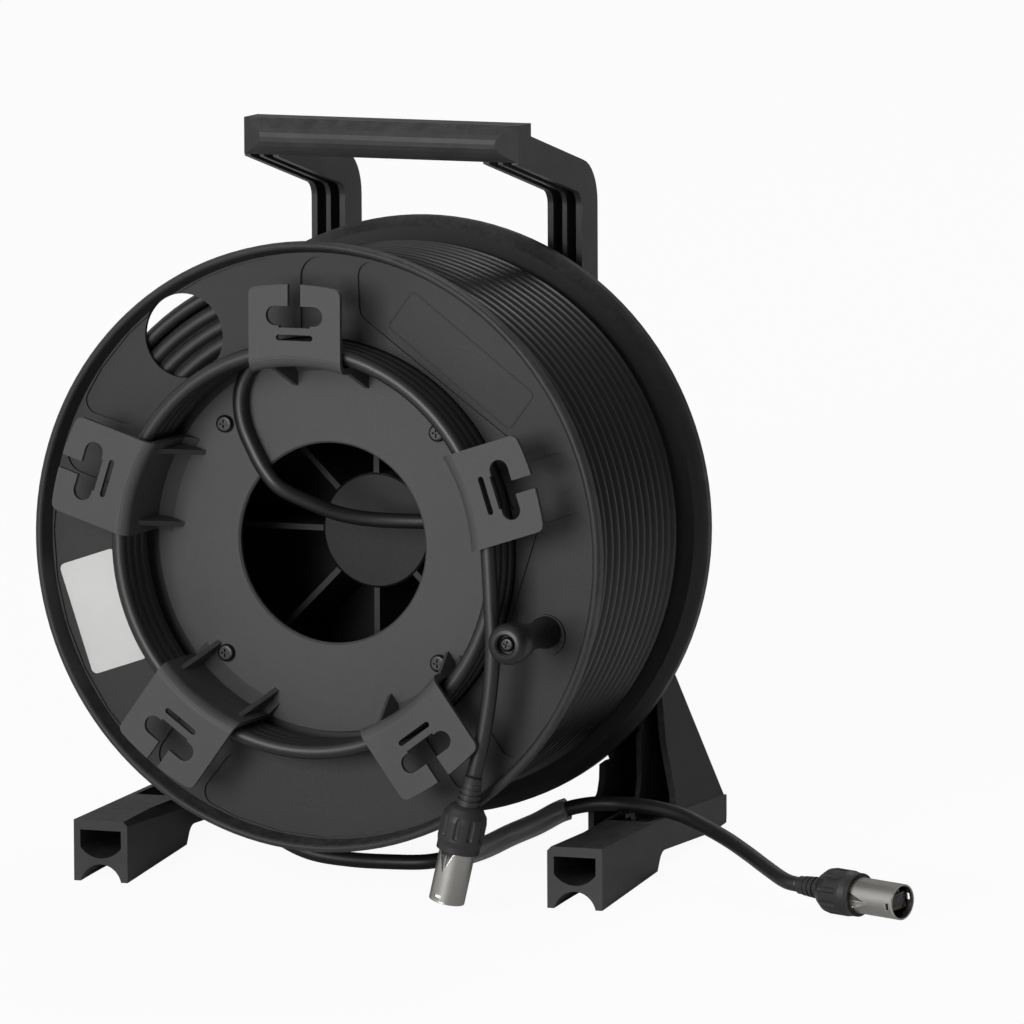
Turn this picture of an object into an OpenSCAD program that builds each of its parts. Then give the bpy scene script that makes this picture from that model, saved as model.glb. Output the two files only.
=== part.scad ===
// Network cable reel: a leaning stand with a carrying grip, a drum on a stub axle with a crank knob,
// a wound data cable and its two plugged ends.
// Millimetres, +Z up, the front toward -Y, the floor at Z = 0.
// Most shapes are drawn in the drum's own frame: the origin on the drum's axis in the front rim plane,
// +Y back along the axle. The stand leans that frame back and lifts it.

/* [Stand] */
// Lean of the drum's axis from level, in degrees
lean = 7.4; // [6:0.1:9]
// Height of the drum's axis over the floor, at the front rim
axis_h = 182.2; // [181:0.1:186]
// Distance from the front rim back to the middle of the footprint
mid_y = 81.4; // [79:0.1:84]
// Outer half width of the posts
post_x = 75.5; // [72:0.5:78]
// Width of a post across its channel
post_w = 19; // [18:0.5:22]
// Wall of the stand's channels
frame_wall = 3.2; // [2.6:0.1:3.6]
// Depth of the posts from front to back
post_d = 21.5; // [19:0.5:24]
// Gap from the drum's back rim to the posts
post_gap = 18.6; // [17:0.1:20]
// Thickness of the ribs in the channels
rib_t = 2.5; // [2:0.1:3]

/* [Grip] */
// Height of the grip's top over the axis
grip_top = 208.4; // [205:0.2:215]
// Height of the grip's section
grip_h = 18.9; // [17:0.1:22]
// Depth of the grip's section from front to back
grip_d = 22; // [19:0.5:25]
// Distance from the front rim back to the grip's crest
grip_y = 83; // [80:0.5:90]
// How far the crest stands before the grip's edges
grip_bulge = 5; // [3:0.5:6]
// Slope of the arms, in degrees
arm_slope = 14.5; // [12:0.5:16]

/* [Feet] */
// Distance from the middle to a foot's inner side
foot_in = 116; // [114:0.5:118]
// Distance from the middle to a foot's outer side
foot_out = 146; // [144:0.5:149]
// Distance from the front rim back to the feet's front
foot_y = 25; // [22:0.5:30]
// Depth of a foot's front block
foot_block = 73; // [65:1:80]
// Depth under the axis of a foot's top, at its front
foot_top = 149; // [147:0.5:151]
// Radius of the groove under a foot
foot_groove_r = 11.6; // [9:0.1:12]
// Depth of the hollow in a foot's front
foot_hollow_d = 60; // [40:1:65]

/* [Drum] */
// Radius of the flanges
flange_r = 155; // [153:0.5:156]
// Distance between the two rim planes
drum_d = 154.4; // [153:0.1:155.4]
// Distance from a rim plane in to the web
web_in = 9; // [8:0.1:9.5]
// Thickness of the webs
web_t = 3.5; // [3:0.1:3.6]
// Radius of the barrel
barrel_r = 110; // [109:0.1:110.5]
// Wall of the barrel
barrel_wall = 3.5; // [3:0.1:3.8]
// Depth of the sunk panels in the front web
panel_sunk = 1.2; // [0.8:0.1:1.5]
// Thickness of the drum's inner ribs
drum_rib = 3; // [2.4:0.1:3.6]
// Radius of the finger hole
finger_r = 21.5; // [19:0.5:22]
// Distance from the axis to the middle of the finger hole and of the knob
finger_at = 128.5; // [126:0.5:130]

/* [Tail holder] */
// Distance from the front rim plane back to the cover disc's front
disc_y = 23; // [22:0.1:24]
// Thickness of the cover disc
disc_t = 3; // [2.4:0.1:3.4]
// Radius of the cover disc's opening
disc_hole_r = 51; // [45:0.5:53]
// Inner radius of the clips' walls
clip_r = 94; // [93:0.1:94.2]
// Thickness of a clip's wall
clip_wall = 3; // [2.6:0.1:3.1]
// Thickness of a clip's plate
clip_t = 2.8; // [2.4:0.1:3.2]
// How far the clips' front stands before the front rim plane
clip_y = 23.4; // [23.2:0.1:25]
// Outer radius of the clips' plates
clip_out = 136; // [134:0.5:138]
// Width of a clip
clip_w = 50; // [46:0.5:52]
// Width of the entry slot in a clip
clip_slot = 7; // [5:0.5:8]

/* [Axle and hub] */
// Radius of the axle
axle_r = 8; // [7:0.1:9]
// Running clearance on the axle, on the radius
run_fit = 0.05; // [0.02:0.01:0.09]
// Outer radius of the hub
hub_r = 29.5; // [28:0.5:32]
// Distance from the hub cap's face back to the back rim plane
hub_l = 74.4; // [73:0.1:76]
// Outer radius of the bushes
bush_r = 12; // [11:0.1:13]
// Length of a bush in the hub
bush_l = 14; // [10:0.5:18]
// Radius of the bushes' collars and of the washers
collar_r = 15; // [14.5:0.1:16]
// End play between turning faces
end_play = 0.3; // [0.2:0.05:0.4]
// Radius of the boss on the stand's hub plate
boss_r = 22; // [20:0.5:25]

/* [Crank knob] */
// Distance from the front rim plane forward to the knob's end
knob_l = 45; // [42:0.5:48]
// Largest radius of the knob
knob_r = 10.5; // [9.5:0.1:11.5]
// Radius of the knob's bore
knob_bore = 3.25; // [3:0.05:3.5]
// Running clearance in the knob's bore, on the radius
knob_fit = 0.05; // [0.02:0.01:0.09]
// Radius of the knob's screw head
knob_head_r = 3.7; // [3.6:0.1:4.2]

/* [Cable] */
// Diameter of the cable
cable_d = 7.8; // [7.6:0.1:7.9]
// Step of the wound turns along the drum
wind_pitch = 8.5; // [8.4:0.05:8.6]
// Radius of the outer layer's middle
wind_r = 140; // [138:0.5:140]
// Step of the coiled tail's turns
coil_pitch = 8.3; // [8.3:0.01:8.35]
// Radius of the coiled tail's middle
coil_r = 102.1; // [102:0.05:102.2]

/* [Connectors] */
// Length of the rubber boot
boot_l = 15; // [14:0.5:18]
// Length of the bushing
bushing_l = 24; // [22:0.5:27]
// Largest radius of the bushing
bushing_r = 11.6; // [11.2:0.1:11.6]
// Radius of the metal shell
shell_r = 9.1; // [8.8:0.1:9.4]
// Wall of the metal shell
shell_wall = 0.8; // [0.6:0.1:1]
// Length of the metal shell
shell_l = 27; // [24:0.5:29]
// Thickness of the clear sleeve's wall
sleeve_wall = 1.5; // [1.2:0.1:1.8]

/* [Hidden] */
$fn = 96;
// Small gap between soft pieces and what they lie on
soft_gap = 0.3;
cable_r = cable_d / 2;
// Angles of the five clips
clip_count = 5;
clip_first = 90;
clip_step = 360 / clip_count;
// Half of the drum, where the two shells meet
joint_y = drum_d / 2;
barrel_in = barrel_r - barrel_wall;
web_back = web_in + web_t;
back_web = drum_d - web_back;
hub_y = drum_d - hub_l;
post_y = drum_d + post_gap;
back_y = post_y + post_d;
post_in = post_x - post_w;

// Stands the drum's frame on the floor
module stand() translate([0, -mid_y, axis_h]) rotate([-lean, 0, 0]) children();

// Turns a half section of radius and depth about the axle
module turned() rotate([-90, 0, 0]) rotate_extrude($fn = 144) children();

// Round bar along the axle's direction
module rod(r, y0, y1) translate([0, y0, 0]) rotate([-90, 0, 0]) cylinder(r = r, h = y1 - y0);

// Front outline of x and z, from depth y0 to depth y1
module slab(y0, y1) translate([0, y1, 0]) rotate([90, 0, 0]) linear_extrude(y1 - y0) children();

// Side outline of y and z, from x0 to x1
module side(x0, x1) translate([x0, 0, 0]) rotate([90, 0, 90]) linear_extrude(x1 - x0) children();

// Copies at an angle about the drum's axis, with the local +Z outward
module at_angle(a) rotate([0, 90 - a, 0]) children();

module both_sides() {
    children();
    mirror([1, 0, 0]) children();
}

function unit(v) = v / norm(v);

// Points of a closed outline with its corners rounded by the radii given
function rounded(pts, rad, n = 6) =
    let (m = len(pts))
    [for (i = [0:m - 1])
        let (p = pts[(i + m - 1) % m], q = pts[i], s = pts[(i + 1) % m],
            r = is_list(rad) ? rad[i] : rad)
        each (r <= 0 ? [q] : corner(p, q, s, r, n))];

function corner(p, q, s, r, n) =
    let (a = unit(p - q), b = unit(s - q), half = acos(max(-1, min(1, a * b))) / 2,
        c = q + unit(a + b) * r / sin(half), t = q + a * r / tan(half),
        turn = (a[0] * b[1] - a[1] * b[0]) < 0 ? 1 : -1,
        a0 = atan2(t[1] - c[1], t[0] - c[0]))
    [for (k = [0:n]) c + r * [cos(a0 + turn * (180 - 2 * half) * k / n),
        sin(a0 + turn * (180 - 2 * half) * k / n)]];

// Points of a closed outline drawn in by d, for an outline that runs anticlockwise
function drawn_in(pts, d) =
    let (m = len(pts))
    [for (i = [0:m - 1])
        let (u = unit(pts[i] - pts[(i + m - 1) % m]), v = unit(pts[(i + 1) % m] - pts[i]),
            n1 = [-u[1], u[0]], n2 = [-v[1], v[0]])
        pts[i] + d * (n1 + n2) / (1 + n1 * n2)];

function arc(c, r, a0, a1, n) =
    [for (k = [0:n]) c + r * [cos(a0 + (a1 - a0) * k / n), sin(a0 + (a1 - a0) * k / n)]];

// Ring of m points about p, square to t
function ring(p, t, r, m) =
    let (b = unit(cross(t, [0, 1, 0])), c = cross(t, b))
    [for (k = [0:m - 1]) p + r * (cos(360 * k / m) * b + sin(360 * k / m) * c)];

function tube_sides(n, m, s0 = 0, flip = false) =
    [for (i = [0:n - 2], k = [0:m - 1])
        let (a = s0 + i * m + k, b = s0 + (i + 1) * m + k,
            c = s0 + (i + 1) * m + (k + 1) % m, d = s0 + i * m + (k + 1) % m)
        each (flip ? [[a, c, b], [a, d, c]] : [[a, b, c], [a, c, d]])];

// Directions along a route: its ends may be given
function ways(pts, t0, t1) =
    let (n = len(pts))
    [for (i = [0:n - 1])
        i == 0 ? (is_undef(t0) ? unit(pts[1] - pts[0]) : t0)
        : i == n - 1 ? (is_undef(t1) ? unit(pts[n - 1] - pts[n - 2]) : t1)
        : unit(unit(pts[i + 1] - pts[i]) + unit(pts[i] - pts[i - 1]))];

// Solid tube swept along a route
module cable(pts, dirs, r, m) {
    n = len(pts);
    polyhedron(points = [for (i = [0:n - 1]) each ring(pts[i], dirs[i], r, m)],
        faces = concat(tube_sides(n, m), [[for (k = [0:m - 1]) k]],
            [[for (k = [m - 1:-1:0]) (n - 1) * m + k]]));
}

// Tube with a bore, swept along a route
module hose(pts, dirs, r_out, r_in, m) {
    n = len(pts);
    s = n * m;
    polyhedron(points = concat([for (i = [0:n - 1]) each ring(pts[i], dirs[i], r_out, m)],
            [for (i = [0:n - 1]) each ring(pts[i], dirs[i], r_in, m)]),
        faces = concat(tube_sides(n, m), tube_sides(n, m, s, true),
            [for (k = [0:m - 1]) let (j = (k + 1) % m) each [[k, j, s + j], [k, s + j, s + k]]],
            [for (k = [0:m - 1]) let (e = (n - 1) * m, j = (k + 1) % m)
                each [[e + k, s + e + k, s + e + j], [e + k, s + e + j, e + j]]]));
}

leg_hip = 14;
leg_knee = [116.8, -81];
leg_toe = [145.3, -146];
arch_r = 54;
arch_mid = [44, -138];
arch_flat = arch_mid[1] + arch_r;
plate_top = 48;
deep = -195;
foot_low = -161;
leg_line = concat([[post_in, 60], [post_in, arch_flat - 1.5]],
    arc(arch_mid, arch_r, 74, 0, 10),
    [[97, -146], [97, foot_low], [foot_out, foot_low], leg_toe, leg_knee, [post_x, leg_hip], [post_x, 60]]);
// Front edge of the legs, seen from the side
sole_y = post_y - 47;
leg_side = rounded([[post_y, 60], [post_y, -85], [sole_y + 24, -112], [sole_y + 10, -137],
    [sole_y, -146], [sole_y, deep], [back_y, deep], [back_y, 60]], [0, 40, 30, 10, 0, 0, 0, 0], 5);

module leg_walls() {
    intersection() {
        union() {
            slab(sole_y - 6, back_y) difference() {
                polygon(leg_line);
                polygon(drawn_in(leg_line, frame_wall));
            }
            slab(back_y - frame_wall, back_y) polygon(leg_line);
            slab(sole_y - 6, back_y) {
                polygon(rib_quad([post_in + post_w / 2, 60], [post_in + post_w / 2, leg_hip]));
                polygon(rib_quad([post_in + post_w / 2, leg_hip + 1], [112.3, -101]));
                polygon(rib_quad([112.3, -100], [119, -128]));
                polygon(rib_quad([119, -127], [122, -150]));
            }
        }
        side(0, foot_out + 10) polygon(leg_side);
    }
}

// Strip of rib thickness from p to q
function rib_quad(p, q, t = rib_t) =
    let (u = unit(q - p), n = [-u[1], u[0]] * t / 2) [p + n, p - n, q - n, q + n];

// Foot, seen from the side
foot_rear = foot_y + foot_block;
foot_line = rounded([[foot_y, -foot_top], [foot_y + 95, -foot_top + 5], [back_y, -foot_top + 5],
    [back_y, foot_low], [foot_rear + 7, foot_low], [foot_rear, -173.5], [foot_rear, deep],
    [foot_y, deep]], [0, 0, 0, 6, 8, 5, 0, 0], 5);
foot_mid = (foot_in + foot_out) / 2;
foot_wall = 3.2;

module foot() {
    difference() {
        side(foot_in, foot_out) polygon(foot_line);
        // groove along the underside
        slab(foot_y - 1, foot_rear + 2) translate([foot_mid, -171.5 - foot_groove_r])
            circle(foot_groove_r);
        // hollow in the front, round below
        slab(foot_y - 1, foot_y + foot_hollow_d) intersection() {
            translate([foot_mid, -154]) circle(14.5);
            translate([foot_in + foot_wall + 0.4, -169])
                square([foot_out - foot_in - 2 * foot_wall - 0.8, 15]);
        }
        // hollow behind the front block, open to the front over the rear bar
        slab(foot_y + foot_hollow_d + foot_wall + 8, back_y - foot_wall)
            translate([foot_in + foot_wall, -foot_top - 1])
            square([foot_out - foot_in - 2 * foot_wall, 20]);
        // chamfer on the inner top edge
        slab(foot_y - 1, foot_y + 105) translate([foot_in, -foot_top + 2]) rotate(45)
            square(6, center = true);
    }
}

// Post and arm, seen from the side
arm_run = post_y - grip_y;
arm_line = let (s = tan(arm_slope), top = grip_top - 1, low = grip_top - grip_h)
    rounded([[grip_y + grip_bulge, top - 1.2], [grip_y + grip_bulge, low - 1],
        [post_y, low - s * (arm_run - 1)], [post_y, 0], [back_y, 0],
        [back_y, top - s * (back_y - grip_y)]], [0, 0, 8, 0, 0, 24], 8);

module arm() {
    for (x = [post_in, post_x - frame_wall]) side(x, x + frame_wall) polygon(arm_line);
    side(post_in + post_w / 2 - rib_t / 2, post_in + post_w / 2 + rib_t / 2) polygon(arm_line);
    side(post_in, post_x) difference() {
        polygon(arm_line);
        translate([-frame_wall, -0.78 * frame_wall]) polygon(arm_line);
    }
}

grip_half = post_x + 0.3;
module grip() {
    z0 = grip_top - grip_h;
    difference() {
        intersection() {
            side(-grip_half, grip_half) polygon(concat(
                [[grip_y + grip_d, z0], [grip_y + grip_d, grip_top]],
                [for (k = [0:8]) [grip_y + grip_bulge * pow(k / 4 - 1, 2),
                    grip_top - grip_h * k / 8]]));
            translate([0, 0, z0 - 1]) linear_extrude(grip_h + 2) polygon([
                [-grip_half, grip_y + grip_bulge], [-grip_half + 11, grip_y],
                [grip_half - 11, grip_y], [grip_half, grip_y + grip_bulge],
                [grip_half, grip_y + grip_d + 1], [-grip_half, grip_y + grip_d + 1]]);
        }
        // channel under the grip, with ribs left across it
        for (k = [-2:2]) translate([k * 21.6 - 9.5, grip_y + grip_bulge + frame_wall, z0 - 1])
            cube([19, grip_d - grip_bulge - 2 * frame_wall, grip_h - frame_wall + 1]);
    }
}

plate_half = post_in + 2;
plate_line = concat([[plate_half, plate_top], [-plate_half, plate_top]],
    arc([-arch_mid[0], arch_mid[1]], arch_r, 105.7, 90, 3), arc(arch_mid, arch_r, 90, 74.3, 3));
nut_y = back_y - 10.5;
boss_y = drum_d + 4.3;

module hub_plate() {
    difference() {
        union() {
            slab(post_y + 3, back_y) difference() {
                polygon(plate_line);
                polygon(drawn_in(plate_line, frame_wall));
            }
            slab(back_y - frame_wall, back_y) polygon(plate_line);
            rod(boss_r, boss_y, back_y);
            slab(post_y + 3, back_y) intersection() {
                polygon(plate_line);
                union() for (a = [0, 45, 90, 135]) rotate(a) square([220, rib_t], center = true);
            }
        }
        rod(axle_r + run_fit, boss_y - 1, back_y + 1);
        rod(collar_r + 2, nut_y, back_y + 1);
    }
}

module frame() color([0.12, 0.12, 0.125]) difference() {
    stand() difference() {
        union() {
            both_sides() leg_walls();
            both_sides() arm();
            both_sides() foot();
            grip();
            hub_plate();
        }
        // room that the turning drum sweeps
        rod(flange_r + 2, -10, drum_d + 3.1);
    }
    // the floor cuts the feet level
    translate([-300, -300, -100]) cube([600, 800, 100]);
}

bush_back = drum_d + 2.8;
front_seat = hub_y + 18;
bush_flange = 2;
ring_t = 1.2;
washer_t = 2.5;
washer_y = front_seat - bush_flange - end_play - washer_t;
axle_end = washer_y - ring_t - 2;
module axle() color([0.7, 0.7, 0.72]) stand() difference() {
    rod(axle_r, axle_end, back_y - 1);
    turned() translate([axle_r - 1, washer_y - ring_t]) square([2, ring_t]);
}
module washer(r, y0, y1) color([0.72, 0.72, 0.74]) stand() difference() {
    rod(r, y0, y1);
    rod(axle_r + run_fit, y0 - 1, y1 + 1);
}
module axle_washer() washer(collar_r, nut_y, nut_y + 2);
module thrust_washer() washer(collar_r + 1, bush_back + end_play, boss_y);
module front_washer() washer(collar_r - 1, washer_y, washer_y + washer_t);
module axle_nut() color([0.66, 0.66, 0.68]) stand() difference() {
    translate([0, nut_y + 2, 0]) rotate([-90, 0, 0]) cylinder(r = 13.8, h = 7.5, $fn = 6);
    rod(axle_r + run_fit, nut_y, back_y);
}
module retaining_ring() color([0.5, 0.5, 0.52]) stand() difference() {
    rod(axle_r + 3.5, washer_y - ring_t, washer_y);
    rod(axle_r - 1, washer_y - ring_t - 1, washer_y + 1);
    // mouth of the snap ring
    translate([-2.5, washer_y - ring_t - 1, -20]) cube([5, ring_t + 2, 20]);
}

crease_r = flange_r - 4;
// Half section of a flange, from its rim in to the barrel, drawn for the front shell
function flange_section(depth) = concat(
    [[barrel_in, web_in], [crease_r - 2, web_in], [crease_r, 2]],
    arc([flange_r - 2, 2], 2, 180, 360, 8),
    [[flange_r, 6.5], [crease_r - 1.5, web_back], [barrel_r, web_back], [barrel_r, depth],
    [barrel_in, depth]]);

screw_at = 58.5;
screw_r = 2.4;
post_r = 6;
bulkhead_y = disc_y + disc_t;
bulkhead_t = 3;
bulkhead_r = disc_hole_r + 4;
spigot_l = 4;
lead_hole = [62, 9];
knob_a = -17.2;
knob_seat_r = 9.5;
finger_a = 126;

// Outline of the sunk panel between two clips, with the local +Z through its middle
panel_side = 20.5;
panel_out = crease_r - 2.6;
panel_in = 106;
function panel_line() =
    let (h = clip_step / 2, t_in = (panel_in - panel_side * sin(h)) / cos(h),
        x_in = t_in * sin(h) - panel_side * cos(h),
        a_out = h - asin(panel_side / panel_out))
    rounded(concat([[-x_in, panel_in + 2.2], [x_in, panel_in + 2.2]],
        arc([0, 0], panel_out, 90 - a_out, 90 + a_out, 6)), [7, 7, 7, 0, 0, 0, 0, 0, 7], 5);

module at_screws() for (x = [-1, 1], z = [-1, 1]) translate([x * screw_at, 0, z * screw_at]) children();

module front_flange() color([0.2, 0.2, 0.205]) stand() difference() {
    union() {
        turned() polygon(flange_section(joint_y));
        turned() translate([bulkhead_r, bulkhead_y]) square([barrel_in + 1 - bulkhead_r, bulkhead_t]);
        at_screws() rod(post_r, bulkhead_y + 1, joint_y);
        // seat of the crank knob
        at_angle(knob_a) translate([0, 0, finger_at]) rod(knob_seat_r, web_in - 0.3, web_back - 1);
    }
    for (k = [0:clip_count - 1]) {
        at_angle(clip_first + clip_step * (k + 0.5)) difference() {
            slab(web_in - 1, web_in + panel_sunk) polygon(panel_line());
            if (k == 3) translate([0, 0, finger_at]) rod(knob_seat_r + 1, -1, web_back);
        }
        at_angle(clip_first + clip_step * k) slab(web_in - 1, web_in + 1.5) {
            translate([-10.5, barrel_in]) square([21, 30]);
            translate([0, barrel_in + 30]) circle(10.5);
        }
    }
    at_angle(finger_a) translate([0, 0, finger_at]) rod(finger_r, -10, web_back + 5);
    // rim of the spigot on the other shell
    turned() translate([barrel_in - 1, joint_y - spigot_l - 0.2])
        square([1 + barrel_wall / 2, spigot_l + 1]);
    at_screws() rod(screw_r + 0.3, bulkhead_y - 1, joint_y + 1);
    at_angle(knob_a) translate([0, 0, finger_at]) rod(1.95, 0, web_back + 1);
    // hole that lets the cable in from the winding
    translate([barrel_in - 6, lead_hole[0], lead_hole[1]]) rotate([0, 90, 0])
        cylinder(r = cable_r + 0.5, h = 14);
}

// The ribs round the hub start behind the seam of the two shells
rib_y = max(hub_y, joint_y + 0.5);
module back_flange() color([0.2, 0.2, 0.205]) stand() difference() {
    union() {
        translate([0, drum_d, 0]) mirror([0, 1, 0]) turned() polygon(flange_section(joint_y));
        // spigot into the front shell
        turned() translate([barrel_in, joint_y - spigot_l]) square([barrel_wall / 2 - 0.1, spigot_l + 1]);
        // back wall
        turned() translate([hub_r - 1, back_web]) square([barrel_r - hub_r, web_t]);
        rod(hub_r, hub_y + 3, bush_back - 1.2);
        for (k = [0:7]) at_angle(45 * k) translate([-drum_rib / 2, rib_y, hub_r - 2])
            cube([drum_rib, back_web + 1 - rib_y, barrel_in + 3 - hub_r]);
        at_screws() rod(post_r, joint_y, back_web + 1);
    }
    rod(bush_r, hub_y, bush_back + 1);
    rod(hub_r - 4.5, hub_y, front_seat);
    rod(hub_r + 0.1, hub_y - 1, hub_y + 3);
    at_screws() rod(screw_r + 0.05, joint_y - 1, joint_y + 40);
}

module hub_bush(seat, way) color([0.75, 0.74, 0.7]) stand() difference() {
    union() {
        rod(bush_r, min(seat, seat + way * bush_l), max(seat, seat + way * bush_l));
        rod(collar_r, min(seat, seat - way * bush_lip(way)), max(seat, seat - way * bush_lip(way)));
    }
    rod(axle_r + run_fit, seat - 30, seat + 30);
}
function bush_lip(way) = way > 0 ? bush_flange : 1.2;
module hub_bush_front() hub_bush(front_seat, 1);
module hub_bush_back() hub_bush(bush_back - 1.2, -1);

module hub_cap() color([0.24, 0.24, 0.245]) stand() {
    turned() polygon([[0, hub_y], [hub_r - 1, hub_y], [hub_r, hub_y + 1], [hub_r, hub_y + 3],
        [hub_r - 4.6, hub_y + 3], [hub_r - 4.6, hub_y + 7], [hub_r - 6.6, hub_y + 7],
        [hub_r - 6.6, hub_y + 3], [0, hub_y + 3]]);
}

module drum_screws() color([0.3, 0.3, 0.31]) stand() at_screws() difference() {
    union() {
        rod(screw_r, disc_y, joint_y + 33);
        turned() polygon(concat([[0, disc_y]], [[4.5, disc_y]],
            arc([3, disc_y - 1.5], 1.5, 0, -90, 4), [[0, disc_y - 3]]));
    }
    for (a = [0, 90]) rotate([0, a, 0]) translate([-2.2, disc_y - 4, -0.5]) cube([4.4, 2.4, 1]);
}

bend_r = 6;
clip_back = -clip_y + clip_t;
clip_half_a = asin(clip_w / 2 / clip_out);
fin_at = 19.5;
// Outline of a clip from the front: its outer edge follows the drum, with round corners
clip_plan = rounded(concat([[-clip_w / 2, 60], [clip_w / 2, 60]],
    arc([0, 0], clip_out, 90 - clip_half_a, 90 + clip_half_a, 6)), [0, 0, 4, 0, 0, 0, 0, 0, 4], 5);
module clip_cut() {
    // entry slot, mushroom opening and narrow slot, with the local +Z outward
    translate([-clip_slot / 2, clip_out - 12]) square([clip_slot, 20]);
    for (u = [-10.5, 10.5]) translate([u, clip_out - 16]) circle(5);
    translate([-10.5, clip_out - 21]) square([21, 10]);
    translate([-8.5, clip_out - 22]) square([17, 3]);
    translate([-8.5, clip_out - 28.5]) square([17, 3]);
    for (u = [-8.5, 8.5]) translate([u, clip_out - 27]) circle(1.5);
}

module tail_holder() color([0.3, 0.3, 0.305]) stand() difference() {
    union() {
        turned() polygon([[disc_hole_r, disc_y + 1], [disc_hole_r + 1, disc_y],
            [clip_r + 2, disc_y], [clip_r + 2, disc_y + disc_t], [disc_hole_r, disc_y + disc_t]]);
        for (k = [0:clip_count - 1]) at_angle(clip_first + clip_step * k) {
            difference() {
                intersection() {
                    turned() polygon(concat([[clip_r - 7, disc_y + 1.5], [clip_r - 7, disc_y + 1],
                            [clip_r, disc_y - 6], [clip_r, -clip_y + bend_r]],
                        arc([clip_r + bend_r, -clip_y + bend_r], bend_r, 180, 270, 6),
                        [[clip_out + 2, -clip_y], [clip_out + 2, clip_back]],
                        arc([clip_r + bend_r, clip_back + bend_r - clip_wall],
                            bend_r - clip_wall, 270, 180, 5),
                        [[clip_r + clip_wall, disc_y + 1.5]]));
                    slab(-clip_y - 1, disc_y + 2) polygon(clip_plan);
                }
                slab(-clip_y - 1, clip_back + 1) clip_cut();
            }
            // fins that brace the wall
            for (u = [-fin_at, fin_at]) side(u - rib_t / 2, u + rib_t / 2) polygon([[disc_y + 1.2, clip_r - 15],
                [-clip_y + 9, clip_r + 0.6], [disc_y + 1.2, clip_r + 0.6]]);
        }
    }
    at_screws() rod(screw_r + 0.3, 0, disc_y + disc_t + 1);
}

knob_seat = web_in - 0.3;
knob_floor = -knob_l + 4.7;
module at_knob() stand() at_angle(knob_a) translate([0, 0, finger_at]) children();
module knob_grip() color([0.13, 0.13, 0.135]) at_knob() turned() polygon(concat(
    [[knob_bore, knob_seat - end_play], [knob_bore, knob_floor],
    [knob_r - 5.7, knob_floor], [knob_r - 5.7, -knob_l + 0.8], [knob_r - 4.9, -knob_l]],
    arc([knob_r - 5, -knob_l + 5], 5, 290, 360, 6),
    [[knob_r, -knob_l + 10], [knob_r - 0.8, -knob_l + 16], [knob_r - 2.6, -knob_l + 23],
    [knob_r - 3.7, -knob_l + 30], [knob_r - 4, -knob_l + 37], [knob_r - 3.7, -knob_l + 43],
    [knob_r - 2.9, -knob_l + 48], [knob_r - 2.4, -knob_l + 51],
    [knob_r - 2.4, knob_seat - end_play]]));
module knob_sleeve() color([0.7, 0.7, 0.72]) at_knob() difference() {
    rod(knob_bore - knob_fit, knob_floor - end_play, knob_seat);
    rod(1.95, -knob_l, knob_seat + 1);
}
module knob_screw() color([0.62, 0.62, 0.64]) at_knob() difference() {
    union() {
        rod(1.9, knob_floor - end_play - 1, web_back - 0.4);
        turned() polygon(concat([[0, knob_floor - end_play]], [[knob_head_r, knob_floor - end_play]],
            arc([knob_head_r - 1.5, knob_floor - end_play - 1], 1.5, 0, -90, 4),
            [[0, knob_floor - end_play - 2.5]]));
    }
    for (a = [0, 90]) rotate([0, a, 0]) translate([-1.9, -knob_l, -0.4])
        cube([3.8, knob_l + knob_floor - end_play - 1.1, 0.8]);
}

loop_rings = 24;
tube_sides_n = 6;
step_a = 360 / loop_rings;
wind_y0 = web_back + 0.7 + cable_r;
wind_turns = floor((back_web - 0.7 - cable_r - wind_y0) / wind_pitch);
lead_a = 165;
lead_r = wind_r + 8.7;
climb_a = 30;
core_r = wind_r * cos(180 / loop_rings) - cable_r - soft_gap;

function polar(r, a, y) = [r * cos(a), y, r * sin(a)];
function ease(u) = let (v = max(0, min(1, u))) v * v * (3 - 2 * v);
function wind_at(phi) = polar(wind_r + (lead_r - wind_r) * (1 - ease(phi / climb_a)),
    lead_a - phi, wind_y0 + wind_pitch * phi / 360);
wind_end = 360 * wind_turns;
dive_a = lead_a - wind_end;
dive_y = wind_y0 + wind_pitch * wind_turns;
dive_r = 9;
// The layer's inner end turns down into the layers under it
function dive_at(k) = let (o = polar(wind_r - dive_r, dive_a, dive_y),
        e = [cos(dive_a), 0, sin(dive_a)], f = [sin(dive_a), 0, -cos(dive_a)])
    k <= 4 ? o + dive_r * (cos(22.5 * k) * e + sin(22.5 * k) * f)
    : o + dive_r * f - (cable_d + 0.5) * e;
wind_pts = concat([for (i = [0:loop_rings * wind_turns]) wind_at(i * step_a)],
    [for (k = [1:5]) dive_at(k)]);
wind_dirs = ways(wind_pts, unit(wind_at(0.5) - wind_at(0)), undef);

// Least distance between loops, less the cable's diameter
function least_gap(pts) = min([for (i = [0:len(pts) - 1], j = [i + 8:1:min(len(pts) - 1, i + 30)])
    norm(pts[i] - pts[j])]) - cable_d;

module winding_outer() color([0.17, 0.17, 0.165]) stand() cable(wind_pts, wind_dirs, cable_r, tube_sides_n);

module winding_core() color([0.16, 0.16, 0.155]) stand() difference() {
    turned() translate([barrel_r + soft_gap, web_back + soft_gap])
        square([core_r - barrel_r - soft_gap, back_web - web_back - 2 * soft_gap]);
    // pocket where the outer layer's end dives in
    at_angle(dive_a) translate([-cable_r - 1.5, dive_y - cable_r - 0.5, wind_r - 2 * dive_r - cable_r])
        cube([dive_r + 2 * cable_r + 4, cable_d + 1, 40]);
}

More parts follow.
